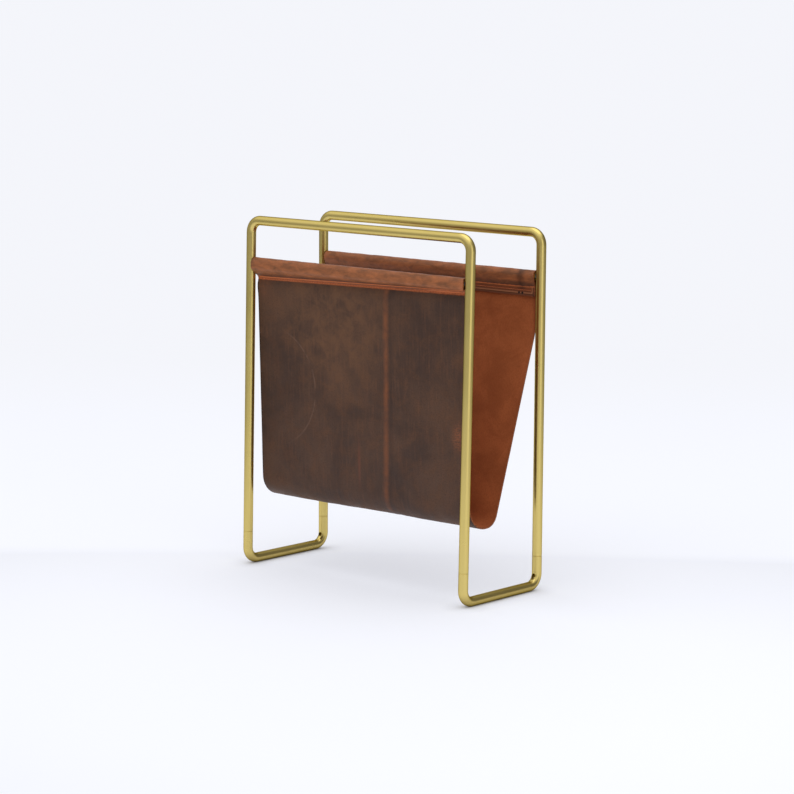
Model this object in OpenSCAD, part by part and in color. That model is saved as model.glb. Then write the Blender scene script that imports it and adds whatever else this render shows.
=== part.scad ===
// Magazine rack: a frame of bent round tube that carries a leather sling on two rods.
//
// The frame is two upside-down U hoops, front and rear, that stand on two U floor runners,
// left and right. Each upright is butt-jointed just above the floor over an inner spigot.
// The rods plug into the inner sides of the uprights, and the sling is one strip of leather
// whose two ends wrap over the rods and are sewn down inside.
//
// Origin on the floor under the middle of the frame. +X right, +Y back, +Z up. Millimetres.

/* [Frame] */
// Distance between the left and right upright centrelines
frame_width = 420; // [340:5:500]
// Distance between the front and rear upright centrelines where they meet the runners
floor_depth = 166; // [164:1:180]
// Height over which each hoop leans in by one unit
lean_height = 100; // [80:10:200]
// Height of the top bars' upper side above the floor
frame_height = 523; // [510:1:600]
// Outside diameter of the frame tube
tube_d = 14; // [13:0.5:16]
// Wall thickness of the frame tube
tube_wall = 1.2; // [1:0.1:1.5]
// Centreline radius of every bend
bend_r = 18; // [16:1:22]
// Height of the butt joints in the uprights above the floor
joint_height = 50; // [48:1:70]
// Depth of the V groove that the two chamfered tube ends leave round each butt joint
groove = 0.4; // [0.1:0.1:0.5]
// Length of the spigot inside each butt joint
spigot_length = 36; // [20:1:40]
// Diameter of the vent hole inside each rear floor bend
vent_d = 6; // [4:0.5:7]
// Angle of the vent hole below the level of its bend's centre
vent_angle = 17; // [5:1:45]

/* [Rods] */
// Height of the rod centrelines above the floor
rod_height = 453.5; // [440:0.5:460]
// Outside diameter of each rod
rod_d = 12; // [10:0.5:12]
// Wall thickness of each rod
rod_wall = 1.5; // [1:0.1:2]
// Diameter of the plug pin that enters the upright
pin_d = 7; // [5:0.5:8]
// Length of the plug inside the rod
plug_length = 15; // [10:1:25]

/* [Sling] */
// Thickness of the leather
leather_t = 2.2; // [1.8:0.1:2.4]
// Gap between each end of the sling and the upright beside it
side_gap = 1; // [0.5:0.1:4]
// Distance of the stitch line below the top of the sleeve
seam_drop = 26.5; // [25:0.5:30]
// Distance of the flap's cut edge below the top of the sleeve
flap_drop = 38.5; // [36:0.5:42]
// Height of the lowest line of the sling above the floor
sling_low_z = 101.7; // [95:0.5:110]
// Depth position at which the sling's flat bottom ends and the rear fold starts
sling_low_y = -22; // [-26:0.5:-18]
// Width of the flat bottom between the two folds
bottom_flat = 5.5; // [0.5:0.5:7]
// Outer radius of the fold between the flat bottom and the front panel
front_fold_r = 34.5; // [31:0.5:36]
// Outer radius of the fold between the flat bottom and the rear panel
rear_fold_r = 22.5; // [20:0.5:26]
// Lean of the front panel from the vertical
front_lean = 2.5; // [2:0.1:2.8]
// Lean of the lower rear panel from the vertical
rear_lean = 17.3; // [17:0.1:18.5]
// Outer radius of the bow between the leaning and the upright part of the rear panel
rear_bow_r = 90; // [60:10:150]
// Distance of the rear panel's outer face behind the rear rod's centreline
rear_outset = 1.5; // [0:0.1:2]

/* [Stitching] */
// Distance from one stitch to the next
stitch_pitch = 5; // [5:0.5:8]
// Thickness of the thread
thread_d = 0.9; // [0.7:0.1:1.1]

/* [Hidden] */

$fn = 96;
LEFT = -1;
RIGHT = 1;
FRONT = -1;
REAR = 1;

brass = [0.72, 0.62, 0.36];
steel = [0.62, 0.62, 0.63];
leather = [0.36, 0.23, 0.17];
thread = [0.42, 0.22, 0.12];

// Whole microns, so that two runs of tube drawn from the same lengths share a face
function micron(length) = round(length * 1000) / 1000;

// Frame. A length along an upright is counted from the height at which the runners lie.
tube_r = tube_d / 2;
bore_r = tube_r - tube_wall;
base_z = tube_r;
hoop_lean = asin(1 / lean_height);
bar_s = micron((frame_height - tube_d) / cos(hoop_lean));
joint_s = micron((joint_height - base_z) / cos(hoop_lean));
rod_s = (rod_height - base_z) / cos(hoop_lean);
bar_half = frame_width / 2 - bend_r;
floor_tangent = bend_r * tan((90 + hoop_lean) / 2);
leg_length = micron(joint_s - floor_tangent);
runner_half = micron(floor_depth / 2 - floor_tangent);
spare_turn = 10;
slip = 0.05;
spigot_wall = 1.5;

// Rods and their plugs
rod_end_gap = 0.2;
rod_half = frame_width / 2 - tube_r - rod_end_gap;
rod_bore_r = rod_d / 2 - rod_wall;
pin_past_wall = 2;
pin_length = rod_end_gap + tube_wall + pin_past_wall;
socket_r = pin_d / 2 + slip;

// Sling outline in the Y-Z plane, in the order that the leather runs
rod_y = floor_depth / 2 - (rod_height - base_z) * tan(hoop_lean);
sleeve_clearance = 0.2;
sleeve_hole_r = rod_d / 2 + sleeve_clearance;
sleeve_r = sleeve_hole_r + leather_t;
sleeve_top = rod_height + sleeve_r;
seam_z = sleeve_top - seam_drop;
flap_z = sleeve_top - flap_drop;
crease_rise = 2;
crease_z = seam_z + crease_rise;
front_fold = [sling_low_y - bottom_flat, sling_low_z + front_fold_r];
rear_fold = [sling_low_y, sling_low_z + rear_fold_r];
rear_face_y = rod_y + rear_outset;
front_foot = on_circle(front_fold, front_fold_r, 180 + front_lean);
rear_foot = on_circle(rear_fold, rear_fold_r, -rear_lean);
knee_z = rear_foot[1] + (rear_face_y - rear_foot[0]) / tan(rear_lean);
bow_centre = [rear_face_y - rear_bow_r, knee_z + rear_bow_r * tan(rear_lean / 2)];
sling_width = frame_width - tube_d - 2 * side_gap;
layer = [leather_t, 0];
sleeve_steps = 20;
fold_steps = 12;

// Stitch rows
row_margin = 5;
stitch_gap = 1.2;
stitch_length = stitch_pitch - stitch_gap;
stitches = floor((sling_width - 2 * row_margin) / stitch_pitch);
thread_gap = 0.02;
thread_lift = thread_d / 2 + thread_gap;

// Depth of the front panel's outer face at height z
function front_face_y(z) = front_foot[0] - (z - front_foot[1]) * tan(front_lean);

function on_circle(centre, r, angle) = centre + r * [cos(angle), sin(angle)];

// Points of an arc from angle a0 to angle a1, both ends included
function arc(centre, r, a0, a1, steps) =
    [for (i = [0 : steps]) on_circle(centre, r, a0 + (a1 - a0) * i / steps)];

// Points of a strap over the top of a circle, between its tangents from a lower point on the
// +Y side and a lower point on the -Y side
function over_top(centre, r, plus_point, minus_point) =
    let (
        plus = plus_point - centre,
        minus = minus_point - centre,
        a0 = atan2(plus[1], plus[0]) + acos(r / norm(plus)),
        a1 = atan2(minus[1], minus[0]) - acos(r / norm(minus)) + 360
    )
    arc(centre, r, a0, a1, sleeve_steps);

// Puts a child that is drawn upright at the runner's height into the lean of a hoop
module in_hoop(depth_side) {
    translate([0, depth_side * floor_depth / 2, base_z])
        rotate([depth_side * hoop_lean, 0, 0])
            children();
}

// Draws a Y-Z outline as a slab across the rack, centred on the middle
module across(width) {
    translate([-width / 2, 0, 0])
        rotate([90, 0, 90])
            linear_extrude(width)
                children();
}

module tube_section() {
    difference() {
        circle(r = tube_r);
        circle(r = bore_r);
    }
}

module tube_run(length) {
    linear_extrude(length)
        tube_section();
}

module tube_bend(turn) {
    rotate_extrude(angle = turn)
        translate([bend_r, 0])
            tube_section();
}

// Ring that cuts a butt joint's groove, about the tube's axis and centred on the joint
module groove_cutter() {
    rotate_extrude()
        polygon([
            [tube_r - groove, 0],
            [tube_r + groove, -2 * groove],
            [tube_r + groove, 2 * groove]
        ]);
}

// Half of a hoop: one upright and the bend over to the top bar
module hoop_side() {
    translate([frame_width / 2, 0, joint_s])
        tube_run(bar_s - bend_r - joint_s);
    translate([bar_half, 0, bar_s - bend_r])
        rotate([90, 0, 0])
            tube_bend(90);
}

module hoop(depth_side) {
    color(brass)
        in_hoop(depth_side)
            difference() {
                union() {
                    hoop_side();
                    mirror([1, 0, 0])
                        hoop_side();
                    translate([-bar_half, 0, bar_s])
                        rotate([0, 90, 0])
                            tube_run(2 * bar_half);
                }
                for (side = [LEFT, RIGHT]) {
                    translate([side * (frame_width / 2 - tube_r), 0, rod_s])
                        rotate([0, 90, 0])
                            cylinder(r = socket_r, h = tube_d - tube_wall, center = true);
                    translate([side * frame_width / 2, 0, joint_s])
                        groove_cutter();
                }
            }
}

// Rear half of a runner about its bend's centre, with Y along the tube that lies on the floor.
// The bend turns past the short leg and is cut back to the plane on which the leg starts.
module runner_rear() {
    rotate([90, 0, 90]) {
        difference() {
            rotate([0, 0, -90])
                tube_bend(90 + hoop_lean + spare_turn);
            rotate([0, 0, hoop_lean])
                translate([0, 0, -tube_d])
                    cube([2 * bend_r, 2 * bend_r, 2 * tube_d]);
        }
        rotate([0, 0, hoop_lean])
            translate([bend_r, 0, 0])
                rotate([-90, 0, 0])
                    difference() {
                        tube_run(leg_length);
                        translate([0, 0, leg_length])
                            groove_cutter();
                    }
    }
    translate([0, 0, -bend_r])
        rotate([90, 0, 0])
            tube_run(runner_half);
}

module runner(side) {
    color(brass)
        translate([side * frame_width / 2, 0, base_z + bend_r])
            difference() {
                union() {
                    translate([0, runner_half, 0])
                        runner_rear();
                    mirror([0, 1, 0])
                        translate([0, runner_half, 0])
                            runner_rear();
                }
                translate([0, runner_half, 0])
                    rotate([-90 - vent_angle, 0, 0])
                        cylinder(d = vent_d, h = bend_r);
            }
}

module spigot(side, depth_side) {
    color(steel)
        in_hoop(depth_side)
            translate([side * frame_width / 2, 0, joint_s - spigot_length / 2])
                linear_extrude(spigot_length)
                    difference() {
                        circle(r = bore_r - slip);
                        circle(r = bore_r - slip - spigot_wall);
                    }
}

module rod(depth_side) {
    color(brass)
        translate([-rod_half, depth_side * rod_y, rod_height])
            rotate([0, 90, 0])
                linear_extrude(2 * rod_half)
                    difference() {
                        circle(d = rod_d);
                        circle(r = rod_bore_r);
                    }
}

// Plug in the end of a rod, with a pin that stands in the upright's socket
module plug(side, depth_side) {
    color(steel)
        translate([side * rod_half, depth_side * rod_y, rod_height])
            rotate([0, side * 90, 0]) {
                translate([0, 0, -plug_length])
                    cylinder(r = rod_bore_r - slip, h = plug_length);
                cylinder(d = pin_d, h = pin_length);
            }
}

// Teardrop hollow of a sleeve, from the apex where its two layers meet, up and over the rod
module sleeve_hollow(rod_centre, apex) {
    polygon(concat([apex], over_top(rod_centre, sleeve_hole_r, apex, apex)));
}

// One outline, in the order that the leather runs: front flap, front sleeve, front panel, both
// folds, rear panel, rear sleeve and rear flap, then back along the inner face
module sling() {
    front_rod_centre = [-rod_y, rod_height];
    rear_rod_centre = [rod_y, rod_height];
    front_tail = [front_face_y(crease_z), crease_z];
    rear_tail = [rear_face_y, crease_z];
    front_flap = [front_face_y(flap_z), flap_z];
    rear_flap = [rear_face_y, flap_z];
    front_inner_r = front_fold_r - leather_t;
    rear_inner_r = rear_fold_r - leather_t;
    color(leather)
        across(sling_width)
            difference() {
                polygon(concat(
                    [front_flap + 2 * layer, front_tail + 2 * layer],
                    over_top(front_rod_centre, sleeve_r, front_tail + 2 * layer, front_tail),
                    [front_tail],
                    arc(front_fold, front_fold_r, 180 + front_lean, 270, fold_steps),
                    arc(rear_fold, rear_fold_r, -90, -rear_lean, fold_steps),
                    arc(bow_centre, rear_bow_r, -rear_lean, 0, fold_steps),
                    [rear_tail],
                    over_top(rear_rod_centre, sleeve_r, rear_tail, rear_tail - 2 * layer),
                    [rear_tail - 2 * layer, rear_flap - 2 * layer, rear_flap - layer],
                    arc(bow_centre, rear_bow_r - leather_t, 0, -rear_lean, fold_steps),
                    arc(rear_fold, rear_inner_r, -rear_lean, -90, fold_steps),
                    arc(front_fold, front_inner_r, 270, 180 + front_lean, fold_steps),
                    [front_flap + layer]
                ));
                sleeve_hollow(front_rod_centre, front_tail + layer);
                sleeve_hollow(rear_rod_centre, rear_tail - layer);
            }
}

// Row of stitches along X that lies on a face at depth y
module stitch_row(y) {
    for (i = [0 : stitches - 1])
        translate([(i + 0.5 - stitches / 2) * stitch_pitch, y, seam_z])
            rotate([0, 90, 0])
                cylinder(d = thread_d, h = stitch_length, center = true, $fn = 16);
}

module seam_thread(outer_y, inward) {
    color(thread) {
        stitch_row(outer_y - inward * thread_lift);
        stitch_row(outer_y + inward * (2 * leather_t + thread_lift));
    }
}

hoop(FRONT);  // front_hoop
hoop(REAR);  // rear_hoop
runner(LEFT);  // left_runner
runner(RIGHT);  // right_runner
spigot(LEFT, FRONT);  // spigot_front_left
spigot(RIGHT, FRONT);  // spigot_front_right
spigot(LEFT, REAR);  // spigot_rear_left
spigot(RIGHT, REAR);  // spigot_rear_right
rod(FRONT);  // front_rod
rod(REAR);  // rear_rod
plug(LEFT, FRONT);  // plug_front_left
plug(RIGHT, FRONT);  // plug_front_right
plug(LEFT, REAR);  // plug_rear_left
plug(RIGHT, REAR);  // plug_rear_right
sling();
seam_thread(front_face_y(seam_z), 1);  // front_seam_thread
seam_thread(rear_face_y, -1);  // rear_seam_thread
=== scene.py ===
import math
import bpy
import numpy as np
from mathutils import Matrix, Vector, noise


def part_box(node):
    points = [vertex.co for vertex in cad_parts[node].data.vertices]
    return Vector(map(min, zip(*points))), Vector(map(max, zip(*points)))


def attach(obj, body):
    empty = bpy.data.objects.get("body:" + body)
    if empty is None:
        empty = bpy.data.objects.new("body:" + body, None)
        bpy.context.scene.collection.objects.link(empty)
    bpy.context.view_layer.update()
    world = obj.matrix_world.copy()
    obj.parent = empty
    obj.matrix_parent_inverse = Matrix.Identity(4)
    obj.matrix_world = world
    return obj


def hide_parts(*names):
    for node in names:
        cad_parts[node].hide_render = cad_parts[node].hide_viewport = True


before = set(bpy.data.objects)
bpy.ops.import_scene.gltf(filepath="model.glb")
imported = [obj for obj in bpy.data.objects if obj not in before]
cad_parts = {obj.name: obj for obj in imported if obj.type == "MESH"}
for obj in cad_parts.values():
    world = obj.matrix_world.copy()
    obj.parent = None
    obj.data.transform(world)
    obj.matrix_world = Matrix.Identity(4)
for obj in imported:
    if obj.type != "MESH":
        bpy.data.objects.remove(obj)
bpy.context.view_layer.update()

# ---------------------------------------------------------------------------
# Driving values, in metres and degrees
# ---------------------------------------------------------------------------
BODY = "root"

# Camera, at the photograph's viewing angle
CAMERA_AT = (2.43122, -2.76458, 0.81963)
CAMERA_AZIMUTH = 41.2034
CAMERA_ELEVATION = 8.5400
CAMERA_ROLL = 0.7106
CAMERA_LENS_MM = 115.88
SENSOR_WIDTH_MM = 36

# Studio. Its dark side and its softbox are turned about the rack from the way the camera looks. The
# ceiling starts at one height on a unit sphere and is full at the next. The backdrop is full up to one
# angle from the way the camera looks, and ends at the next.
BACKDROP = (0.908, 0.918, 0.965, 1)
CEILING = (0.97, 0.98, 1.0, 1)
STUDIO_NEAR = (0.48, 0.48, 0.49, 1)
STUDIO_FAR = (0.22, 0.22, 0.23, 1)
DARK_SIDE = 71
CEILING_TILT = 0.25
CEILING_START = 0.42
CEILING_FULL = 0.80
BACKDROP_FULL = 17
BACKDROP_END = 28
CEILING_POWER = 0.6
CEILING_SPREAD = 60
SOFTBOX_TURN = 35
SOFTBOX_AWAY = 1.9
SOFTBOX_SIZE = (1.1, 1.6)
SOFTBOX_POWER = 4.1

# Floor, in its own axes: Y runs away from the camera. It is white round a point in front of the rack
# and in the sweep behind it, grey elsewhere, and far back in the sweep as bright as the backdrop.
FLOOR_HALF = 40
FLOOR_WHITE = (0.595, 0.603, 0.632, 1)
FLOOR_GLOW = (0.388, 0.394, 0.428, 1)
FLOOR_GREY = (0.36, 0.36, 0.37, 1)
BLACK = (0, 0, 0, 1)
CONTACT_REACH = 0.03
WHITE_CENTRE = (0, -0.5)
WHITE_FULL = 0.4
WHITE_END = 2.6
SWEEP_START = -0.2
SWEEP_FULL = 0.2
SWEEP_HALF = 0.75
SWEEP_FADE = 0.5
SWEEP_SPREAD = 0.3
FAR_START = 0.5
FAR_FULL = 2.6

# Brass: its tint where it is seen nearly edge-on, and the heights between which painted shade darkens it near
# the floor
BRASS_EDGE = (0.30, 0.24, 0.13, 1)
PAINTED_SHADE_START_Z = 0.022
PAINTED_SHADE_FULL_Z = 0.008

# Leather strip, as cut
LEATHER = 0.0022
ROD_CLEARANCE = 0.0002

# Course of the sling between its two sleeves
FRONT_LEAN = 2.5
REAR_LEAN = 17.3
FRONT_FOLD_R = 0.0345
REAR_FOLD_R = 0.0225
FOLD_Y = -0.022
BOTTOM_FLAT = 0.0055
BOW_R = 0.090
REAR_OUTSET = 0.0015

# Seams. The front stitch line climbs a little from left to right, and each sleeve tucks in
# above its stitches.
FRONT_STITCH_Z = 0.4343
FRONT_CLIMB = 0.0195
REAR_STITCH_Z = 0.4322
REAR_CLIMB = 0.002
TUCK_ABOVE_STITCH = 0.0048
TUCK_CLIMB = 0.0075
TUCK_FLARE = 0.0008
FLARE_REACH = 0.012
FLAP_EDGE_Z = 0.4242
FLAP_GAP = 0.0001
FLAP_LIFT = 0.0007
PINCH_DEPTH = 0.0030
REAR_PINCH_DEPTH = 0.0006
PINCH_REACH = 0.007
BELLY_DROP = 0.0078
BELLY_OUT = 0.0003
PANEL_INSET = 0.0019
INSET_REACH = 0.06
INSET_BELOW_SEAM = 0.03
BOTTOM_LIFT = 0.0016
LIFT_TOP = 0.27
LIFT_BOTTOM = 0.13
LIFT_LEFT = -0.12
LIFT_RIGHT = 0.03
LEFT_SPARE = 0.0008
RIGHT_SPARE = 0.0021
SPARE_REACH = 0.015
SPARE_FADE_HALF = 0.003
PAST_ROD_START = 0.65
PAST_ROD_FULL = 0.95

# Stitches, which share their holes
STITCH_PITCH = 0.005
HOLE_PITS = 0.0004
THREAD_R = 0.00048
THREAD_RISE = 0.00025
THREAD_SINK = 0.0007
THREAD_SLANT = 0.0003
THREAD_BLUNTNESS = 1.5
PLY_DEPTH = 0.14
SPARE_HOLES_X = (0.1735, 0.1795)
SPARE_HOLES_Z = 0.4285

# Marks on the leather, at X and Z: those that use has left, painted shade beside the crease and along the
# flaps' cut edges, and a front panel that is darker towards the bottom. The front panel's marks fade in
# between two depths in front of the rack's middle.
FRONT_START_Y = -0.045
FRONT_FULL_Y = -0.055
PANEL_TOP = 0.43
DARKER_START_Z = 0.27
DARKER_FULL_Z = 0.15
CREASE_X = 0.0525
CREASE_DRIFT = -0.019
CREASE_RISE = 0.00025
CREASE_REACH = 0.0035
CREASE_WANDER = 0.002
CREASE_FAR_SIDE = 0.008
VALLEY_REACH = 0.004
VALLEY_SHARE = 0.7
FAINT_LINE = (-0.004, 0.175)
FAINT_LINE_HALF = 0.05
CORNER_X = -0.165
CORNER_FULL_X = -0.192
PALE_AT = (-0.045, 0.385)
PALE_REACH = 0.15
RUB_AT = (0.184, 0.235)
RUB_NARROWING = 1.6
RUB_REACH = 0.030
STAIN_X = 0.178
STAIN_REACH = 0.011
SPARE_HOLE_R = 0.0012
RING_AT = (-0.178, 0.272)
RING_R = 0.089
RING_START = 0.02
RING_FULL = 0.07
RING_SHADE = 0.03
LIP_IN = 0.0046
BURNISH_AND_SHADE_IN = 0.0028

# Unevenness of the leather
WAVE = 0.0011
WAVE_SIZE = 0.13
WAVE_SEED = 3.7
WRINKLE = 0.00022
HELD_WRINKLE_SHARE = 0.4
SLEEVE_WRINKLE = 0.0003
SLEEVE_WRINKLE_REACH = 0.02
WRINKLE_SIZE = 0.021
WRINKLE_SEED = 9.1
HELD_BY_SEAM = 0.07
HELD_BY_SIDE = 0.045
SIDE_HOLD = 0.9
EDGE_CURL = 0.0003
CURL_REACH = 0.014
FLAP_LOOSE_START = 0.002
FLAP_LOOSE_FULL = 0.008
FLAP_WAVE = 0.7
HOLE_REACH = 0.001
PIT_REACH = 0.0009
SEAM_GROOVE = 0.00035
GROOVE_REACH = 0.0016
SPARE_HOLE_DEPTH = 0.0012
BURNISH_DEPTH = 0.00015
BURNISH_REACH = 0.0007

# Mesh: rows along each stretch between the strip's landmarks, columns at half a stitch
ROWS = (8, 4, 26, 4, 8, 62, 30, 48, 16, 13, 8, 4, 26, 4, 8)
NEAR_SEAM = 0.009
COLUMN_PITCH = STITCH_PITCH / 2
DENSE_STEP = 0.0005
SOFTENING = 0.0013
EDGE_ROUND = 0.0004
ROUND_SHARE = 0.2


def span(node):
    """Centre and size of a CAD node's box."""
    low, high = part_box(node)
    return (low + high) / 2, high - low


def smooth(x):
    """Smooth step from 0 at 0 to 1 at 1."""
    x = np.clip(x, 0.0, 1.0)
    return x * x * (3 - 2 * x)


def hump(distance, reach):
    """1 at no distance, nearly 0 from twice the reach."""
    return np.exp(-((distance / reach) ** 2))


front_rod, rod_size = span("front_rod")
rear_rod, _ = span("rear_rod")
sling_low, sling_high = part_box("sling")
HALF_WIDTH = sling_high.x
LOWEST_Z = sling_low.z
SLEEVE_R = rod_size.z / 2 + ROD_CLEARANCE + LEATHER / 2


# ---------------------------------------------------------------------------
# Camera, light and stage
# ---------------------------------------------------------------------------
def make_camera():
    azimuth = math.radians(CAMERA_AZIMUTH)
    elevation = math.radians(CAMERA_ELEVATION)
    back = Vector((
        math.sin(azimuth) * math.cos(elevation),
        -math.cos(azimuth) * math.cos(elevation),
        math.sin(elevation),
    ))
    right = Vector((math.cos(azimuth), math.sin(azimuth), 0))
    up = back.cross(right)
    turn = Matrix((right, up, back)).transposed() @ Matrix.Rotation(math.radians(CAMERA_ROLL), 3, "Z")
    data = bpy.data.cameras.new("camera")
    data.lens = CAMERA_LENS_MM
    data.sensor_width = SENSOR_WIDTH_MM
    camera = bpy.data.objects.new("camera", data)
    camera.matrix_world = Matrix.Translation(CAMERA_AT) @ turn.to_4x4()
    bpy.context.scene.collection.objects.link(camera)
    bpy.context.scene.camera = camera


def make_area_light(name, at, target, size, power):
    data = bpy.data.lights.new(name, "AREA")
    data.shape = "RECTANGLE"
    data.size, data.size_y = size
    data.energy = power
    light = bpy.data.objects.new(name, data)
    light.location = at
    light.rotation_euler = (Vector(target) - Vector(at)).to_track_quat("-Z", "Y").to_euler()
    bpy.context.scene.collection.objects.link(light)


def srgb(red, green, blue):
    """A colour given as sRGB bytes, in Blender's linear values."""
    def linear(byte):
        share = byte / 255
        return share / 12.92 if share <= 0.04045 else ((share + 0.055) / 1.055) ** 2.4
    return (linear(red), linear(green), linear(blue), 1.0)


# ---------------------------------------------------------------------------
# Materials
# ---------------------------------------------------------------------------
# A Mix node's sockets for its share and its two colours, and for the colour it gives
COLOUR_MIX_INPUTS = (0, 6, 7)
COLOUR_MIX_OUTPUT = 2


class Nodes:
    """Short calls that add shader nodes to a material or a world."""

    def __init__(self, owner):
        owner.use_nodes = True
        self.nodes = owner.node_tree.nodes
        self.links = owner.node_tree.links

    def feed(self, socket, value):
        if isinstance(value, bpy.types.NodeSocket):
            self.links.new(value, socket)
        else:
            socket.default_value = value

    def place(self, output="Object"):
        return self.nodes.new("ShaderNodeTexCoord").outputs[output]

    def attribute(self, name, output="Fac"):
        node = self.nodes.new("ShaderNodeAttribute")
        node.attribute_name = name
        return node.outputs[output]

    def apart(self, vector):
        return self.calc_node("ShaderNodeSeparateXYZ", vector).outputs

    def calc_node(self, kind, *values):
        node = self.nodes.new(kind)
        for socket, value in zip(node.inputs, values):
            self.feed(socket, value)
        return node

    def calc(self, operation, *values):
        node = self.calc_node("ShaderNodeMath", *values)
        node.operation = operation
        return node.outputs[0]

    def product(self, *factors):
        result = factors[0]
        for factor in factors[1:]:
            result = self.calc("MULTIPLY", result, factor)
        return result

    def distance(self, at, centre):
        """Distance of two coordinates from two numbers."""
        offsets = [self.calc("SUBTRACT", value, middle) for value, middle in zip(at, centre)]
        squares = [self.calc("MULTIPLY", offset, offset) for offset in offsets]
        return self.calc("SQRT", self.calc("ADD", *squares))

    def stretched(self, vector, scale):
        node = self.nodes.new("ShaderNodeMapping")
        self.feed(node.inputs["Vector"], vector)
        node.inputs["Scale"].default_value = scale
        return node.outputs[0]

    def noise(self, vector, scale, detail=4.0, roughness=0.5, distortion=0.0):
        node = self.nodes.new("ShaderNodeTexNoise")
        self.feed(node.inputs["Vector"], vector)
        node.inputs["Scale"].default_value = scale
        node.inputs["Detail"].default_value = detail
        node.inputs["Roughness"].default_value = roughness
        node.inputs["Distortion"].default_value = distortion
        return node.outputs["Fac"]

    def cells(self, vector, scale):
        """Distance from the edges of cells."""
        node = self.nodes.new("ShaderNodeTexVoronoi")
        node.feature = "DISTANCE_TO_EDGE"
        self.feed(node.inputs["Vector"], vector)
        node.inputs["Scale"].default_value = scale
        return node.outputs["Distance"]

    def ramp(self, value, start, end, low=0.0, high=1.0):
        """Smooth step from low where the value is at the start to high where it is at the end."""
        node = self.nodes.new("ShaderNodeMapRange")
        node.interpolation_type = "SMOOTHSTEP"
        for socket, given in zip(node.inputs, (value, start, end, low, high)):
            self.feed(socket, given)
        return node.outputs[0]

    def near(self, value, centre, reach):
        """1 where the value is at the centre, 0 from the reach on."""
        away = self.calc("ABSOLUTE", self.calc("SUBTRACT", value, centre))
        return self.ramp(away, reach, 0.0)

    def mix(self, share, first, second):
        """The first colour, with this share of the second."""
        node = self.nodes.new("ShaderNodeMix")
        node.data_type = "RGBA"
        for socket, given in zip(COLOUR_MIX_INPUTS, (share, first, second)):
            self.feed(node.inputs[socket], given)
        return node.outputs[COLOUR_MIX_OUTPUT]

    def bump(self, height, depth, strength=1.0, normal=None):
        node = self.nodes.new("ShaderNodeBump")
        node.inputs["Strength"].default_value = strength
        node.inputs["Distance"].default_value = depth
        self.feed(node.inputs["Height"], height)
        if normal is not None:
            self.feed(node.inputs["Normal"], normal)
        return node.outputs[0]


class Finish(Nodes):
    """A material with one Principled shader. Its colour starts from one value and is built up in layers."""

    def __init__(self, name):
        self.material = bpy.data.materials.new(name)
        super().__init__(self.material)
        self.nodes.clear()
        self.shader = self.nodes.new("ShaderNodeBsdfPrincipled")
        output = self.nodes.new("ShaderNodeOutputMaterial")
        self.links.new(self.shader.outputs[0], output.inputs[0])

    def set(self, name, value):
        self.feed(self.shader.inputs[name], value)

    def lay(self, colour, *shares):
        """Lays a colour over the one so far, by the product of its shares."""
        self.colour = self.mix(self.product(*shares), self.colour, colour)


def brass_finish():
    """Satin brass plating: an even, very fine grain with faint clouds where it was handled, and painted shade
    near the floor, where its lower side would reflect the floor's contact shadow."""
    finish = Finish("satin_brass")
    at = finish.place()
    cloud = finish.noise(at, 14, 3, 0.55)
    grain = finish.noise(at, 2600, 2, 0.6)
    low = finish.ramp(finish.apart(at)[2], PAINTED_SHADE_START_Z, PAINTED_SHADE_FULL_Z)
    finish.colour = finish.mix(cloud, srgb(215, 193, 114), srgb(227, 205, 128))
    finish.lay(srgb(192, 168, 86), finish.ramp(grain, 0.3, 0.7, 0.0, 0.12))
    # Painted shade: the brass is darkened towards the floor, where its lower side would reflect the floor's
    # contact shadow
    finish.lay(srgb(160, 138, 84), low, 0.5)
    finish.set("Base Color", finish.colour)
    finish.set("Metallic", 1.0)
    finish.set("Roughness", finish.ramp(cloud, 0.2, 0.8, 0.26, 0.33))
    finish.set("Normal", finish.bump(grain, 0.00003, 0.05))
    finish.set("Specular Tint", BRASS_EDGE)
    return finish.material


def steel_finish():
    """Plain turned steel with fine rings round its axis."""
    finish = Finish("bare_steel")
    rings = finish.noise(finish.stretched(finish.place(), (3000, 400, 3000)), 1, 3, 0.6)
    finish.set("Base Color", finish.mix(rings, (0.26, 0.26, 0.27, 1), (0.42, 0.42, 0.43, 1)))
    finish.set("Metallic", 1.0)
    finish.set("Roughness", finish.ramp(rings, 0.2, 0.8, 0.3, 0.45))
    finish.set("Normal", finish.bump(rings, 0.00002, 0.4))
    return finish.material


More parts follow.
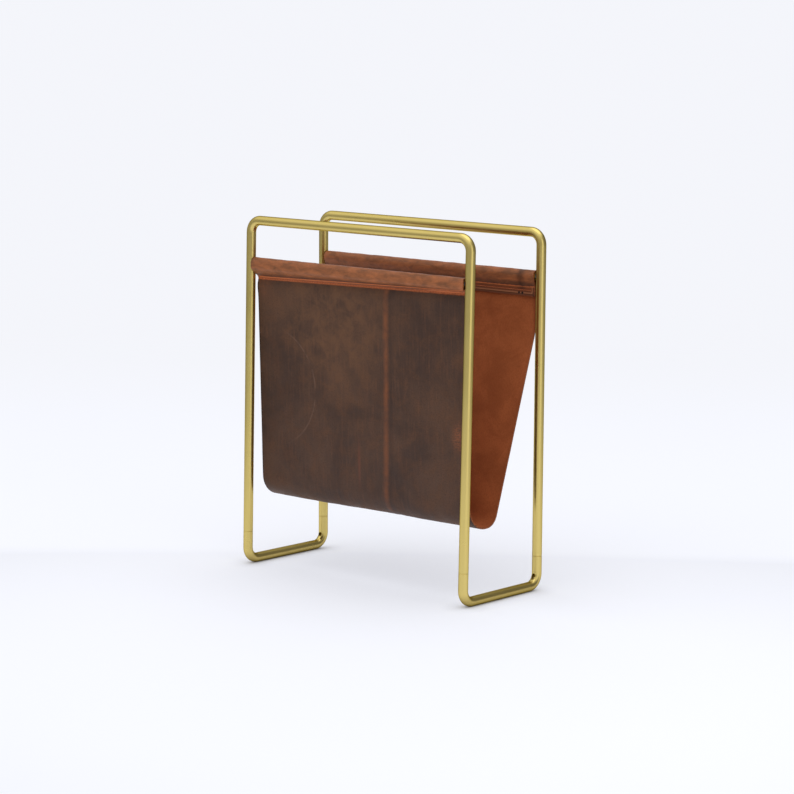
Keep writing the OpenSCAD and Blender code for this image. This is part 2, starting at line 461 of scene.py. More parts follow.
class GrainFinish(Finish):
    """The leather's oiled outer side. It goes dark where oil lies and orange where it is bent or rubbed, and
    it carries painted shade along its sides, beneath the sleeves' bellies, beside the crease and near the
    flaps' cut edges.
    Its attributes are distances in metres, as Strip makes them."""

    def __init__(self):
        super().__init__("leather_grain_side")
        self.flat = self.attribute("flat", "Vector")
        self.seam = self.attribute("seam")
        self.tuck = self.attribute("tuck")
        self.rim = self.attribute("rim")
        self.sides = self.attribute("sides")
        self.flap = self.attribute("flap")
        self.x, self.y, self.z = self.apart(self.place())
        self.blotch = self.noise(self.flat, 38, 5, 0.65, 0.4)
        self.ragged = self.noise(self.stretched(self.flat, (170, 500, 1)), 1, 4, 0.7)
        front = self.ramp(self.y, FRONT_START_Y, FRONT_FULL_Y)
        self.panel = self.product(front, self.ramp(self.seam, 0.0, 0.004))
        self.sleeve = self.ramp(self.tuck, -0.0005, -0.004)
        self.colour = srgb(68, 48, 38)
        self.lay_hide()
        self.lay_patches()
        self.lay_sleeves()
        self.lay_seams()
        self.lay_flaps()
        self.lay_creases()
        self.lay_panel_marks()
        self.lay_sides()
        self.set("Base Color", self.colour)
        self.set_surface()

    def lay_hide(self):
        """Clouds, blotches, streaks down the strip and dark specks."""
        cloud = self.noise(self.flat, 9, 4, 0.6, 0.6)
        streak = self.noise(self.stretched(self.flat, (230, 20, 1)), 1, 4, 0.65)
        speck = self.noise(self.flat, 420, 3, 0.6)
        self.lay(srgb(95, 66, 48), self.ramp(cloud, 0.32, 0.70))
        self.lay(srgb(118, 78, 52), self.ramp(self.blotch, 0.42, 0.80, 0.0, 0.35))
        self.lay(srgb(110, 72, 50), self.ramp(streak, 0.45, 0.75, 0.0, 0.42))
        self.lay(srgb(56, 39, 31), self.ramp(speck, 0.45, 0.75, 0.0, 0.45))

    def lay_patches(self):
        """A paler, browner patch high on the front panel, left of the middle, and a redder corner below
        the front sleeve's left end."""
        away = self.distance((self.x, self.z), PALE_AT)
        self.lay(srgb(120, 84, 58), self.ramp(away, PALE_REACH, 0.03), self.ramp(self.blotch, 0.25, 0.7), 0.6)
        corner = self.product(self.ramp(self.x, CORNER_X, CORNER_FULL_X), self.ramp(self.seam, 0.045, 0.008))
        self.lay(srgb(132, 78, 50), corner, self.ramp(self.blotch, 0.3, 0.65), 0.55)

    def lay_sleeves(self):
        """A sleeve is bent all round, so it is paler and redder, in streaks along the rod. Beneath its belly
        it carries painted shade, with some burnish."""
        patch = self.noise(self.stretched(self.flat, (42, 120, 1)), 1, 6, 0.7, 0.5)
        pulled = self.mix(self.ramp(patch, 0.28, 0.75), srgb(186, 112, 68), srgb(122, 78, 50))
        self.lay(pulled, self.sleeve, 0.9)
        # Painted shade beneath the sleeve's belly, where it faces down, over a little burnish
        under = self.product(self.ramp(self.tuck, -0.0105, -0.0045), self.ramp(self.tuck, -0.0008, -0.002))
        self.lay(srgb(74, 50, 40), under, 0.6)

    def lay_seams(self):
        """The two layers of a seam are worn orange between the tuck and the stitches, most along both
        lines, and more raggedly towards the right end."""
        spread = self.ramp(self.x, 0.06, 0.12, 0.0022, 0.0050)
        fray = self.product(self.calc("SUBTRACT", self.ragged, 0.5), spread)
        seam = self.calc("ADD", self.seam, fray)
        tuck = self.calc("ADD", self.tuck, fray)
        self.lay(srgb(128, 74, 46), self.ramp(tuck, -0.0022, -0.0008), self.ramp(seam, 0.0022, 0.001), 0.8)
        worn_end = self.product(self.near(seam, -0.0012, 0.0045), self.ramp(self.x, 0.10, 0.15))
        line = self.calc("MAXIMUM", self.near(seam, 0.0, 0.0028), self.near(tuck, 0.0003, 0.0020))
        line = self.calc("MAXIMUM", line, worn_end)
        self.lay(srgb(220, 122, 70), line, self.ramp(self.flap, 1.0, 0.0, 0.18, 0.9))

    def lay_flaps(self):
        """The flaps inside, with a pale line burnished along their cut edges and a line of painted shadow
        between it and the edge, and on the rear one a stain and two spare stitch holes."""
        self.lay(srgb(118, 64, 36), self.flap, 0.75)
        # Painted shadow: a dark line just in from the flaps' cut edges
        self.lay(srgb(66, 36, 22), self.flap, self.near(self.rim, BURNISH_AND_SHADE_IN, 0.0012), 0.6)
        self.lay(srgb(196, 132, 92), self.flap, self.near(self.rim, LIP_IN, 0.0014), 0.5)
        rear = self.ramp(self.y, 0.0, 0.01)
        stain = self.product(self.near(self.x, STAIN_X, STAIN_REACH), self.ramp(self.seam, 0.001, -0.002))
        self.lay(srgb(50, 34, 28), stain, rear, self.ramp(self.blotch, 0.25, 0.6), 0.75)
        # The spare stitch holes are painted near-black, as painted shade inside them
        for hole_x in SPARE_HOLES_X:
            away = self.distance((self.x, self.z), (hole_x, SPARE_HOLES_Z))
            self.lay(srgb(14, 9, 7), self.ramp(away, 0.0023, SPARE_HOLE_R), self.flap, rear)

    def lay_creases(self):
        """The vertical crease in the front panel, with painted shade on its far side, and a fainter one."""
        wander = self.noise(self.stretched(self.flat, (1, 28, 1)), 1, 2, 0.5)
        line_x = self.calc("MULTIPLY_ADD", self.calc("SUBTRACT", PANEL_TOP, self.z), CREASE_DRIFT, CREASE_X)
        line_x = self.calc("MULTIPLY_ADD", self.calc("SUBTRACT", wander, 0.5), CREASE_WANDER, line_x)
        from_line = self.calc("SUBTRACT", self.x, line_x)
        crease = self.product(self.panel, self.near(from_line, 0.0, 0.0078))
        self.lay(srgb(146, 84, 49), crease, self.ramp(self.blotch, 0.3, 0.65, 0.35, 1.0), 0.62)
        # Painted shade on the crease's far side, where the ridge turns away from the light
        self.lay(srgb(50, 35, 30), self.panel, self.near(from_line, 0.009, 0.008), 0.3)
        faint = self.near(self.x, FAINT_LINE[0], 0.004)
        low_part = self.near(self.z, FAINT_LINE[1], FAINT_LINE_HALF)
        self.lay(srgb(128, 72, 50), faint, low_part, self.panel, 0.5)

    def lay_panel_marks(self):
        """A rubbed spot at the front panel's right edge, its darker and cooler lower part, and a faint
        ring mark near its left edge."""
        narrowed = self.calc("MULTIPLY", self.x, RUB_NARROWING)
        away = self.distance((narrowed, self.z), (RUB_AT[0] * RUB_NARROWING, RUB_AT[1]))
        rubbed = self.product(self.ramp(away, RUB_REACH, 0.004), self.ramp(self.ragged, 0.35, 0.62))
        self.lay(srgb(160, 94, 58), rubbed, self.panel, 0.65)
        self.lay(srgb(50, 42, 42), self.panel, self.ramp(self.z, DARKER_START_Z, DARKER_FULL_Z, 0.0, 0.2))
        away = self.distance((self.x, self.z), RING_AT)
        ring = self.product(self.near(away, RING_R, 0.0022), self.ramp(self.blotch, 0.35, 0.6))
        right_part = self.ramp(self.x, RING_AT[0] + RING_START, RING_AT[0] + RING_FULL)
        self.lay(srgb(126, 96, 80), ring, right_part, self.panel, 0.45)
        self.lay(srgb(50, 36, 32), self.ramp(away, RING_R, RING_R - RING_SHADE), self.panel, 0.22)

    def lay_sides(self):
        """The strip's sides, with painted shade along them where the rounded edges turn away from the light,
        and rubbed orange in places.
        """
        # Painted shade along the rounded side edges, below the seams
        painted_edge_shade = self.product(self.ramp(self.sides, 0.0035, 0.0012), self.ramp(self.seam, 0.0, 0.008))
        self.lay(srgb(44, 31, 26), painted_edge_shade, 0.65)
        rubbed = self.product(self.ramp(self.sides, 0.002, 0.0), self.ramp(self.blotch, 0.5, 0.62))
        self.lay(srgb(158, 88, 54), rubbed, 0.6)

    def set_surface(self):
        pebble = self.cells(self.flat, 620)
        pores = self.noise(self.flat, 1400, 3, 0.6)
        wrinkle = self.noise(self.stretched(self.flat, (70, 200, 1)), 1, 5, 0.7, 0.8)
        normal = self.bump(wrinkle, 0.0006, 0.25)
        normal = self.bump(self.ramp(pebble, 0.0, 0.25), 0.00012, 0.5, normal)
        normal = self.bump(pores, 0.00008, 0.35, normal)
        self.set("Normal", normal)
        dull = self.ramp(self.blotch, 0.3, 0.75, 0.50, 0.68)
        self.set("Roughness", self.calc("MULTIPLY_ADD", self.sleeve, -0.12, dull))
        self.set("Specular IOR Level", 0.23)


def flesh_finish():
    """The leather's brushed inner side, a short orange-brown nap."""
    finish = Finish("leather_flesh_side")
    flat = finish.attribute("flat", "Vector")
    rim = finish.attribute("rim")
    cloud = finish.noise(flat, 22, 5, 0.65, 0.5)
    nap = finish.noise(finish.stretched(flat, (520, 300, 1)), 1, 5, 0.75)
    fuzz = finish.noise(flat, 1100, 4, 0.8)
    finish.colour = finish.mix(finish.ramp(cloud, 0.35, 0.68), srgb(154, 81, 42), srgb(176, 96, 53))
    finish.lay(srgb(112, 56, 30), finish.ramp(nap, 0.4, 0.75, 0.0, 0.45))
    finish.lay(srgb(104, 54, 32), finish.ramp(rim, 0.006, 0.0, 0.0, 0.3))
    finish.set("Base Color", finish.colour)
    finish.set("Normal", finish.bump(fuzz, 0.0002, 0.6, finish.bump(nap, 0.0003, 0.5)))
    finish.set("Roughness", finish.ramp(nap, 0.3, 0.7, 0.82, 0.95))
    finish.set("Specular IOR Level", 0.2)
    finish.set("Sheen Weight", 0.25)
    finish.set("Sheen Roughness", 0.6)
    finish.set("Sheen Tint", srgb(200, 130, 90))
    return finish.material


def cut_finish():
    """The strip's cut edges, with the fibres showing."""
    finish = Finish("leather_cut_edge")
    flat = finish.attribute("flat", "Vector")
    fibre = finish.noise(finish.stretched(flat, (600, 600, 1)), 1, 4, 0.7)
    finish.set("Base Color", finish.mix(finish.ramp(fibre, 0.35, 0.7), srgb(110, 62, 38), srgb(174, 102, 60)))
    finish.set("Normal", finish.bump(fibre, 0.0002, 0.6))
    finish.set("Roughness", 0.8)
    finish.set("Specular IOR Level", 0.25)
    return finish.material


def thread_finish():
    """Waxed thread, with painted shade between its plies."""
    finish = Finish("seam_thread")
    fibre = finish.noise(finish.place(), 1800, 3, 0.7)
    on_ply = finish.ramp(finish.attribute("ply"), 0.1, 0.9)
    # Painted shade in the grooves between the plies
    finish.colour = finish.mix(on_ply, srgb(150, 78, 44), srgb(214, 120, 68))
    finish.lay(srgb(140, 74, 44), finish.ramp(fibre, 0.4, 0.8, 0.0, 0.4))
    finish.set("Base Color", finish.colour)
    finish.set("Normal", finish.bump(fibre, 0.00006, 0.5))
    finish.set("Roughness", 0.6)
    return finish.material


def floor_finish():
    """Pale sweep that glows a little, with painted contact shadow in its glow where something stands on it.
    """
    finish = Finish("floor")
    x, y, _ = finish.apart(finish.place())
    from_side = finish.calc("MULTIPLY_ADD", y, -SWEEP_SPREAD, finish.calc("ABSOLUTE", x))
    between_sides = finish.ramp(from_side, SWEEP_HALF + SWEEP_FADE, SWEEP_HALF)
    sweep = finish.product(finish.ramp(y, SWEEP_START, SWEEP_FULL), between_sides)
    round_rack = finish.ramp(finish.distance((x, y), WHITE_CENTRE), WHITE_END, WHITE_FULL)
    white = finish.calc("MAXIMUM", sweep, round_rack)
    far = finish.product(finish.ramp(y, FAR_START, FAR_FULL), sweep)
    finish.colour = finish.mix(white, FLOOR_GREY, FLOOR_WHITE)
    finish.lay(BLACK, far)
    finish.set("Base Color", finish.colour)
    finish.set("Roughness", 0.9)
    finish.set("Specular IOR Level", 0.0)
    # Painted contact shadow: the glow is cut by occlusion close to anything standing on the floor
    open_side = finish.nodes.new("ShaderNodeAmbientOcclusion")
    open_side.inputs["Distance"].default_value = CONTACT_REACH
    open_side.samples = 8
    finish.set("Emission Color", finish.mix(far, FLOOR_GLOW, BACKDROP))
    finish.set("Emission Strength", finish.product(white, open_side.outputs["AO"]))
    return finish.material


# ---------------------------------------------------------------------------
# The sling's course in the Y-Z plane
# ---------------------------------------------------------------------------
def on_circle(centre, r, degrees):
    angle = math.radians(degrees)
    return (centre[0] + r * math.cos(angle), centre[1] + r * math.sin(angle))


def arc(centre, r, start, end, steps=24):
    return [on_circle(centre, r, start + (end - start) * i / steps) for i in range(steps + 1)]


FRONT_FOLD = (FOLD_Y - BOTTOM_FLAT, LOWEST_Z + FRONT_FOLD_R)
REAR_FOLD = (FOLD_Y, LOWEST_Z + REAR_FOLD_R)
FRONT_FOOT = on_circle(FRONT_FOLD, FRONT_FOLD_R, 180 + FRONT_LEAN)
REAR_FOOT = on_circle(REAR_FOLD, REAR_FOLD_R, -REAR_LEAN)
REAR_FACE_Y = rear_rod.y + REAR_OUTSET
KNEE_Z = REAR_FOOT[1] + (REAR_FACE_Y - REAR_FOOT[0]) / math.tan(math.radians(REAR_LEAN))
BOW = (REAR_FACE_Y - BOW_R, KNEE_Z + BOW_R * math.tan(math.radians(REAR_LEAN / 2)))


def front_face_y(z):
    return FRONT_FOOT[0] - (z - FRONT_FOOT[1]) * math.tan(math.radians(FRONT_LEAN))


def front_stitch_z(x):
    return FRONT_STITCH_Z + FRONT_CLIMB * x


def rear_stitch_z(x):
    return REAR_STITCH_Z + REAR_CLIMB * x


def over_rod(rod, outward, flap_foot, panel_foot):
    """A sleeve's middle line from the flap's tuck over the rod to the panel's tuck. The sleeve hangs
    straight down past the rod on its outer side, and turns in to the tuck below it."""
    def local(point):
        return ((point[0] - rod.y) * outward, point[1] - rod.z)
    foot = local(flap_foot)
    reach = math.degrees(math.acos(SLEEVE_R / math.hypot(*foot)))
    first = math.degrees(math.atan2(foot[1], foot[0])) % 360 - reach
    loop = [foot]
    loop += arc((0, 0), SLEEVE_R, first, 0)
    loop.append((SLEEVE_R + BELLY_OUT, -BELLY_DROP))
    loop.append(local(panel_foot))
    return [(rod.y + u * outward, rod.z + w) for u, w in loop]


def course(x):
    """The strip's middle line at x, as stretches between its landmarks."""
    half = LEATHER / 2
    flap = 3 * half + FLAP_GAP
    flare = TUCK_FLARE * hump(HALF_WIDTH - abs(x), FLARE_REACH)
    stitch = front_stitch_z(x)
    tuck = stitch + TUCK_ABOVE_STITCH + TUCK_CLIMB * x + flare
    rear_stitch = rear_stitch_z(x)
    rear_tuck = rear_stitch + TUCK_ABOVE_STITCH + flare

    def in_front(z, inward):
        return (front_face_y(z) + inward, z)

    def behind(z, inward):
        return (REAR_FACE_Y - inward, z)

    front_foot = on_circle(FRONT_FOLD, FRONT_FOLD_R - half, 180 + FRONT_LEAN)
    rear_foot = on_circle(REAR_FOLD, REAR_FOLD_R - half, -REAR_LEAN)
    bow = arc(BOW, BOW_R - half, -REAR_LEAN, 0)
    return [
        [in_front(FLAP_EDGE_Z, flap), in_front(stitch, flap)],
        [in_front(stitch, flap), in_front(tuck, flap)],
        over_rod(front_rod, -1, in_front(tuck, flap), in_front(tuck, half)),
        [in_front(tuck, half), in_front(stitch, half)],
        [in_front(stitch, half), in_front(stitch - NEAR_SEAM, half)],
        [in_front(stitch - NEAR_SEAM, half), front_foot],
        arc(FRONT_FOLD, FRONT_FOLD_R - half, 180 + FRONT_LEAN, 270)
        + arc(REAR_FOLD, REAR_FOLD_R - half, -90, -REAR_LEAN),
        [rear_foot, bow[0]],
        bow,
        [bow[-1], behind(rear_stitch - NEAR_SEAM, half)],
        [behind(rear_stitch - NEAR_SEAM, half), behind(rear_stitch, half)],
        [behind(rear_stitch, half), behind(rear_tuck, half)],
        over_rod(rear_rod, 1, behind(rear_tuck, flap), behind(rear_tuck, half))[::-1],
        [behind(rear_tuck, flap), behind(rear_stitch, flap)],
        [behind(rear_stitch, flap), behind(FLAP_EDGE_Z, flap)],
    ]


def lengths(points):
    """Distance along a line up to each of its points."""
    steps = np.linalg.norm(np.diff(points, axis=0), axis=1)
    return np.concatenate([[0], np.cumsum(steps)])


def along(points, run, at):
    """Places on a line at the given distances along it."""
    return np.stack([np.interp(at, run, points[:, i]) for i in range(2)], axis=1)


def softened(points):
    """The line with its corners rounded, its ends kept."""
    reach = int(3 * SOFTENING / DENSE_STEP)
    weights = hump(np.arange(-reach, reach + 1) * DENSE_STEP, SOFTENING * math.sqrt(2))
    weights /= weights.sum()
    ahead = 2 * points[0] - points[reach:0:-1]
    after = 2 * points[-1] - points[-2:-reach - 2:-1]
    longer = np.concatenate([ahead, points, after])
    return np.stack([np.convolve(longer[:, i], weights, "valid") for i in range(2)], axis=1)


def pinched(line, x):
    """The line with both layers of each seam drawn in towards the pocket."""
    front = line[:, 0] < 0
    seam_z = np.where(front, front_stitch_z(x), rear_stitch_z(x))
    near_seam = hump(line[:, 1] - seam_z, PINCH_REACH)
    inward = np.where(front, PINCH_DEPTH, -REAR_PINCH_DEPTH) * near_seam
    return np.stack([line[:, 0] + inward, line[:, 1]], axis=1)


def strip_column(x):
    """Row places, distances along the strip and grain-side normals for the column at x."""
    stretches = [np.array(s) for s in course(x)]
    ends = np.cumsum([lengths(s)[-1] for s in stretches])
    line = np.concatenate(stretches)
    run = lengths(line)
    dense_run = np.linspace(0, run[-1], int(run[-1] / DENSE_STEP) + 1)
    line = softened(pinched(along(line, run, dense_run), x))
    marks = np.concatenate([[0], ends])
    at = [np.linspace(marks[i], marks[i + 1], n + 1)[:-1] for i, n in enumerate(ROWS)]
    at = np.concatenate(at + [marks[-1:]])
    tangent = np.gradient(line, axis=0)
    tangent /= np.linalg.norm(tangent, axis=1)[:, None]
    normal = np.stack([tangent[:, 1], -tangent[:, 0]], axis=1)
    return along(line, dense_run, at), at, along(normal, dense_run, at)


# ---------------------------------------------------------------------------
# The sling's mesh
# ---------------------------------------------------------------------------
def fractal(x, s, size, seed):
    """Smooth noise in three octaves, each twice as fine and half as strong as the one before."""
    return noise.fractal(Vector((x / size, s / size, seed)), 1.0, 2.0, 3)


# The row at each landmark, from the front flap's edge to the rear flap's
MARK_ROW = np.concatenate([[0], np.cumsum(ROWS)])
EDGE_IN, STITCH_IN, TUCK_IN, TUCK_OUT, STITCH_OUT = MARK_ROW[:5]
LAST_ROW = MARK_ROW[-1]
REAR_STITCH_OUT, REAR_TUCK_OUT, REAR_TUCK_IN, REAR_STITCH_IN = MARK_ROW[11:15]
MIDDLE_ROW = MARK_ROW[7]
GRAIN_SIDE, FLESH_SIDE, CUT_EDGE = range(3)


class Strip:
    """The sling as a grid of rows along the strip and columns across it."""

    def __init__(self):
        inner = int(HALF_WIDTH / COLUMN_PITCH)
        inside = np.arange(-inner, inner + 1) * COLUMN_PITCH
        self.x = np.concatenate([[-HALF_WIDTH], inside, [HALF_WIDTH]])
        columns = [strip_column(x) for x in self.x]
        self.yz = np.stack([c[0] for c in columns], axis=1)
        self.s = np.stack([c[1] for c in columns], axis=1)
        self.normal = np.stack([c[2] for c in columns], axis=1)
        self.normal /= np.linalg.norm(self.normal, axis=2)[:, :, None]
        self.front = np.arange(LAST_ROW + 1)[:, None] < MIDDLE_ROW
        self.seam = self.from_line(STITCH_IN, STITCH_OUT, REAR_STITCH_OUT, REAR_STITCH_IN)
        self.tuck = self.from_line(TUCK_IN, TUCK_OUT, REAR_TUCK_OUT, REAR_TUCK_IN)
        ends = np.minimum(self.s, self.s[-1] - self.s)
        sides = HALF_WIDTH - np.abs(self.x)[None, :]
        self.rim = np.minimum(ends, sides)
        self.sides = np.broadcast_to(sides, self.s.shape)
        self.across = self.spread()
        self.shape()

    def from_line(self, inside, outside, rear_outside, rear_inside):
        """Distance past the nearer of a half's two lines, negative on the sleeve's side."""
        front = np.maximum(self.s[inside] - self.s, self.s - self.s[outside])
        rear = np.maximum(self.s[rear_outside] - self.s, self.s - self.s[rear_inside])
        return np.where(self.front, front, rear)

    def spread(self):
        """Place of each point across the rack. The panels' left edges are drawn in below the seams. At
        both ends the sleeves' outer faces, which pass the uprights, reach a little further."""
        x = np.broadcast_to(self.x[None, :], self.s.shape)
        rod_y = np.where(self.front, front_rod.y, rear_rod.y)
        outward = np.abs(self.yz[:, :, 0]) - np.abs(rod_y)
        above = self.yz[:, :, 1] - (front_rod.z - BELLY_DROP)
        past_rod = (outward / SLEEVE_R - PAST_ROD_START) / (PAST_ROD_FULL - PAST_ROD_START)
        past_belly = (above + SPARE_FADE_HALF) / (2 * SPARE_FADE_HALF)
        spare = smooth(past_rod) * smooth(past_belly) * smooth(1 - self.sides / SPARE_REACH)
        drawn_in = smooth(self.seam / INSET_BELOW_SEAM) * smooth(1 - self.sides / INSET_REACH)
        return x + np.where(x > 0, RIGHT_SPARE * spare, PANEL_INSET * drawn_in - LEFT_SPARE * spare)

    def shape(self):
        """Moves the even course into worn leather, and makes its two skins."""
        x = np.broadcast_to(self.x[None, :], self.s.shape)
        wide = self.unevenness(WAVE_SIZE, WAVE_SEED)
        small = self.unevenness(WRINKLE_SIZE, WRINKLE_SEED)
        row = np.arange(LAST_ROW + 1)[:, None]
        flap = (row < TUCK_IN) | (row > REAR_TUCK_IN)
        panel = (row > TUCK_OUT) & (row < REAR_TUCK_OUT)
        loop = ~flap & ~panel
        self.flap = flap * np.ones_like(self.s)
        z = self.yz[:, :, 1]

        move = np.zeros_like(self.s)
        free = smooth(self.seam / HELD_BY_SEAM) * panel * (1 - SIDE_HOLD * hump(self.sides, HELD_BY_SIDE))
        move += WAVE * wide * free
        move += WRINKLE * small * (HELD_WRINKLE_SHARE + (1 - HELD_WRINKLE_SHARE) * free)
        move += EDGE_CURL * panel * hump(self.sides, CURL_REACH) * wide
        from_crease = x - CREASE_X - (PANEL_TOP - z) * CREASE_DRIFT
        ridge = hump(from_crease, CREASE_REACH)
        valley = VALLEY_SHARE * hump(from_crease - CREASE_FAR_SIDE, VALLEY_REACH)
        move += CREASE_RISE * (ridge - valley) * (panel & self.front)
        loose = smooth((self.seam - FLAP_LOOSE_START) / (FLAP_LOOSE_FULL - FLAP_LOOSE_START))
        move += flap * FLAP_LIFT * loose * (1 + FLAP_WAVE * wide)
        belly = hump(self.s - (self.s[TUCK_OUT] + self.s[TUCK_IN]) / 2, SLEEVE_WRINKLE_REACH)
        move += loop * SLEEVE_WRINKLE * small * np.where(self.front, belly, 1.0)

        rear_flap = row > REAR_STITCH_IN
        at_hole = hump(x - np.round(x / STITCH_PITCH) * STITCH_PITCH, HOLE_REACH)
        pit = at_hole * hump(self.seam, PIT_REACH) * HOLE_PITS
        for hole_x in SPARE_HOLES_X:
            away = np.hypot(x - hole_x, z - SPARE_HOLES_Z)
            pit = pit + SPARE_HOLE_DEPTH * hump(away, SPARE_HOLE_R) * rear_flap
        groove = SEAM_GROOVE * hump(self.seam, GROOVE_REACH)
        burnish = BURNISH_DEPTH * hump(self.s[-1] - self.s - BURNISH_AND_SHADE_IN, BURNISH_REACH) * rear_flap

        self.yz = self.yz + self.normal * move[:, :, None]
        lift = smooth((x - LIFT_LEFT) / (LIFT_RIGHT - LIFT_LEFT))
        lift = lift * smooth((LIFT_TOP - z) / (LIFT_TOP - LIFT_BOTTOM))
        self.yz[:, :, 1] += BOTTOM_LIFT * lift
        self.grain = self.skin(LEATHER / 2 - pit - groove - burnish)
        self.flesh = self.skin(-LEATHER / 2 + np.zeros_like(move))

    def unevenness(self, size, seed):
        rows = [[fractal(x, s, size, seed) for x, s in zip(self.x, row)] for row in self.s]
        return np.array(rows)

    def skin(self, lift):
        yz = self.yz + self.normal * lift[:, :, None]
        return np.concatenate([self.across[:, :, None], yz], axis=2)

    def on_stitch_row(self, row, x):
        """Place and normal on the grain side at a row and any x."""
        place = [np.interp(x, self.x, self.grain[row, :, i]) for i in range(3)]
        normal = [0.0] + [np.interp(x, self.x, self.normal[row, :, i]) for i in range(2)]
        return Vector(place), Vector(normal).normalized()


def rim_order(rows, columns):
    """Grid places round the strip's rim, in order."""
    places = [(0, c) for c in range(columns)]
    places += [(r, columns - 1) for r in range(1, rows)]
    places += [(rows - 1, c) for c in range(columns - 2, -1, -1)]
    places += [(r, 0) for r in range(rows - 2, 0, -1)]
    return places


def make_sling(strip, materials):
    rows, columns = strip.s.shape
    rim = rim_order(rows, columns)
    count = rows * columns
    grain, flesh = strip.grain, strip.flesh
    points = [grain.reshape(-1, 3), flesh.reshape(-1, 3)]

    def outward(r, c):
        """Unit vector that leaves the strip at a rim place."""
        step = np.zeros(3)
        if c == 0:
            step -= np.array([1, 0, 0])
        if c == columns - 1:
            step += np.array([1, 0, 0])
        if r in (0, rows - 1):
            back = grain[1, c] - grain[0, c] if r == 0 else grain[rows - 2, c] - grain[rows - 1, c]
            step -= back / np.linalg.norm(back)
        return step / np.linalg.norm(step)

    # The two skins stop short of the cut, and two lines between them round it off
    upper, lower = [], []
    for r, c in rim:
        out = outward(r, c) * EDGE_ROUND
        top, bottom = grain[r, c].copy(), flesh[r, c].copy()
        points[0][r * columns + c] -= out
        points[1][r * columns + c] -= out
        upper.append(top + (bottom - top) * ROUND_SHARE)
        lower.append(bottom + (top - bottom) * ROUND_SHARE)
    vertices = np.concatenate(points + [np.array(upper), np.array(lower)])

    faces, skins = [], []
    for r in range(rows - 1):
        for c in range(columns - 1):
            a = r * columns + c
            quad = (a, a + 1, a + columns + 1, a + columns)
            faces.append(quad)
            skins.append(GRAIN_SIDE)
            faces.append(tuple(count + i for i in reversed(quad)))
            skins.append(FLESH_SIDE)
    around = len(rim)
    for i in range(around):
        j = (i + 1) % around
        a, b = (r * columns + c for r, c in (rim[i], rim[j]))
        rings = [(a, b), (2 * count + i, 2 * count + j), (2 * count + around + i, 2 * count + around + j),
                 (count + a, count + b)]
        for near, far in zip(rings, rings[1:]):
            faces.append((near[1], near[0], far[0], far[1]))
            skins.append(CUT_EDGE)

    mesh = bpy.data.meshes.new("sling_leather")
    mesh.from_pydata([tuple(v) for v in vertices], [], faces)
    for material in materials:
        mesh.materials.append(material)
    mesh.polygons.foreach_set("material_index", skins)
    mesh.shade_smooth()

    def per_vertex(values):
        flat = values.reshape(-1, *values.shape[2:])
        edge = np.array([values[r, c] for r, c in rim])
        return np.concatenate([flat, flat, edge, edge])

    x = np.broadcast_to(strip.x[None, :], strip.s.shape)
    place = np.stack([x, strip.s, np.zeros_like(x)], axis=2)
    flat = mesh.attributes.new("flat", "FLOAT_VECTOR", "POINT")
    flat.data.foreach_set("vector", per_vertex(place).ravel().astype(np.float32))
    for name in ("seam", "tuck", "rim", "sides", "flap"):
        values = getattr(strip, name)
        attribute = mesh.attributes.new(name, "FLOAT", "POINT")
        attribute.data.foreach_set("value", per_vertex(values).astype(np.float32))
    mesh.update()
    sling = bpy.data.objects.new("sling_leather", mesh)
    bpy.context.scene.collection.objects.link(sling)
    return sling


# ---------------------------------------------------------------------------
# Stitches
# ---------------------------------------------------------------------------
RINGS = 9
SIDES = 8


def one_stitch(strip, row, x, vertices, faces, plies):
    """A visible stitch from the hole at x to the next: up out of one hole and down into the other."""
    first = len(vertices)
    for i in range(RINGS):
        share = i / (RINGS - 1)
        place, normal = strip.on_stitch_row(row, x + share * STITCH_PITCH)
        rise = min(1.0, THREAD_BLUNTNESS * math.sin(math.pi * share))
        height = HOLE_PITS - THREAD_SINK + (THREAD_SINK + THREAD_RISE) * rise
        across = Vector((1, 0, 0))
        sideways = normal.cross(across)
        centre = place + normal * height + sideways * THREAD_SLANT * (2 * share - 1)
        for k in range(SIDES):
            angle = 2 * math.pi * k / SIDES
            ply = 0.5 + 0.5 * math.cos(2 * angle - 4 * math.pi * share)
            r = THREAD_R * (1 - PLY_DEPTH + PLY_DEPTH * ply)
            vertices.append(centre + normal * r * math.cos(angle) + sideways * r * math.sin(angle))
            plies.append(ply)
    for i in range(RINGS - 1):
        for k in range(SIDES):
            a, b = first + i * SIDES + k, first + i * SIDES + (k + 1) % SIDES
            faces.append((a, b, b + SIDES, a + SIDES))
    faces.append(tuple(first + k for k in reversed(range(SIDES))))
    faces.append(tuple(first + (RINGS - 1) * SIDES + k for k in range(SIDES)))


def make_stitches(name, strip, rows_used, node, material):
    low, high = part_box(node)
    vertices, faces, plies = [], [], []
    stitches = round((high.x - low.x) / STITCH_PITCH)
    for row in rows_used:
        for i in range(stitches):
            one_stitch(strip, row, (i - stitches / 2) * STITCH_PITCH, vertices, faces, plies)
    mesh = bpy.data.meshes.new(name)
    mesh.from_pydata(vertices, [], faces)
    mesh.materials.append(material)
    mesh.shade_smooth()
    attribute = mesh.attributes.new("ply", "FLOAT", "POINT")
    attribute.data.foreach_set("value", np.array(plies, np.float32))
    mesh.update()
    piece = bpy.data.objects.new(name, mesh)
    bpy.context.scene.collection.objects.link(piece)
    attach(piece, BODY)
    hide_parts(node)
    return piece


# ---------------------------------------------------------------------------
# Build
# ---------------------------------------------------------------------------
def dress(names, material):
    """Gives CAD nodes a material in place of their plain one."""
    for name in names:
        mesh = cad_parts[name].data
        mesh.materials.clear()
        mesh.materials.append(material)


def towards(nodes, direction, turn):
    """How far a direction lies towards a level one, given by its turn to the right of the way the
    camera looks."""
    x, y, _ = direction
    angle = math.radians(CAMERA_AZIMUTH - turn)
    return nodes.calc("MULTIPLY_ADD", y, math.cos(angle), nodes.calc("MULTIPLY", x, -math.sin(angle)))


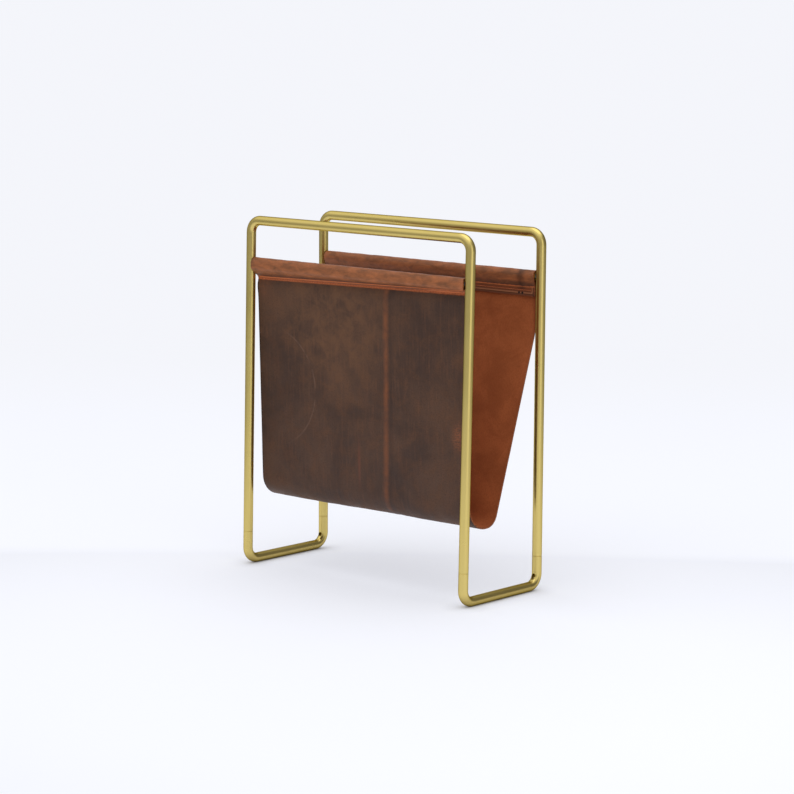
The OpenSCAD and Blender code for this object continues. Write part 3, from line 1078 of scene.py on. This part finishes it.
def make_world():
    """A bright ceiling over a dim studio, darkest on one side, and the backdrop behind the rack."""
    world = bpy.data.worlds.new("studio")
    bpy.context.scene.world = world
    nodes = Nodes(world)
    direction = nodes.apart(nodes.place("Generated"))
    dark = towards(nodes, direction, DARK_SIDE)
    height = nodes.calc("MULTIPLY_ADD", dark, -CEILING_TILT, direction[2])
    studio = nodes.mix(nodes.ramp(dark, -1, 1), STUDIO_NEAR, STUDIO_FAR)
    light = nodes.mix(nodes.ramp(height, CEILING_START, CEILING_FULL), studio, CEILING)
    start, full = (math.cos(math.radians(angle)) for angle in (BACKDROP_END, BACKDROP_FULL))
    backdrop = nodes.ramp(towards(nodes, direction, 0), start, full)
    background = nodes.nodes["Background"]
    nodes.feed(background.inputs["Color"], nodes.mix(backdrop, light, BACKDROP))


def make_floor():
    signs = ((-1, -1), (1, -1), (1, 1), (-1, 1))
    corners = [(side * FLOOR_HALF, end * FLOOR_HALF, 0) for side, end in signs]
    mesh = bpy.data.meshes.new("floor")
    mesh.from_pydata(corners, [], [(0, 1, 2, 3)])
    mesh.materials.append(floor_finish())
    floor = bpy.data.objects.new("floor", mesh)
    floor.rotation_euler.z = math.radians(CAMERA_AZIMUTH)
    bpy.context.scene.collection.objects.link(floor)


def make_lights():
    """A broad soft light from above, and a tall softbox on the camera's right."""
    data = bpy.data.lights.new("ceiling", "SUN")
    data.energy = CEILING_POWER
    data.angle = math.radians(CEILING_SPREAD)
    bpy.context.scene.collection.objects.link(bpy.data.objects.new("ceiling", data))
    side = math.radians(CAMERA_AZIMUTH + SOFTBOX_TURN)
    at = (SOFTBOX_AWAY * math.sin(side), -SOFTBOX_AWAY * math.cos(side), SOFTBOX_SIZE[1] / 2)
    make_area_light("softbox", at, (0, 0, at[2]), SOFTBOX_SIZE, SOFTBOX_POWER)


bpy.context.scene.view_settings.view_transform = "Standard"
make_camera()
make_world()
make_floor()
make_lights()

tubes = ["front_hoop", "rear_hoop", "left_runner", "right_runner", "front_rod", "rear_rod"]
inserts = [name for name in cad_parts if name.startswith(("spigot", "plug"))]
dress(tubes, brass_finish())
dress(inserts, steel_finish())

strip = Strip()
thread = thread_finish()
sling = make_sling(strip, [GrainFinish().material, flesh_finish(), cut_finish()])
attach(sling, BODY)
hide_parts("sling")
seams = [
    make_stitches("front_seam_stitches", strip, (STITCH_OUT, STITCH_IN), "front_seam_thread", thread),
    make_stitches("rear_seam_stitches", strip, (REAR_STITCH_OUT, REAR_STITCH_IN), "rear_seam_thread", thread),
]
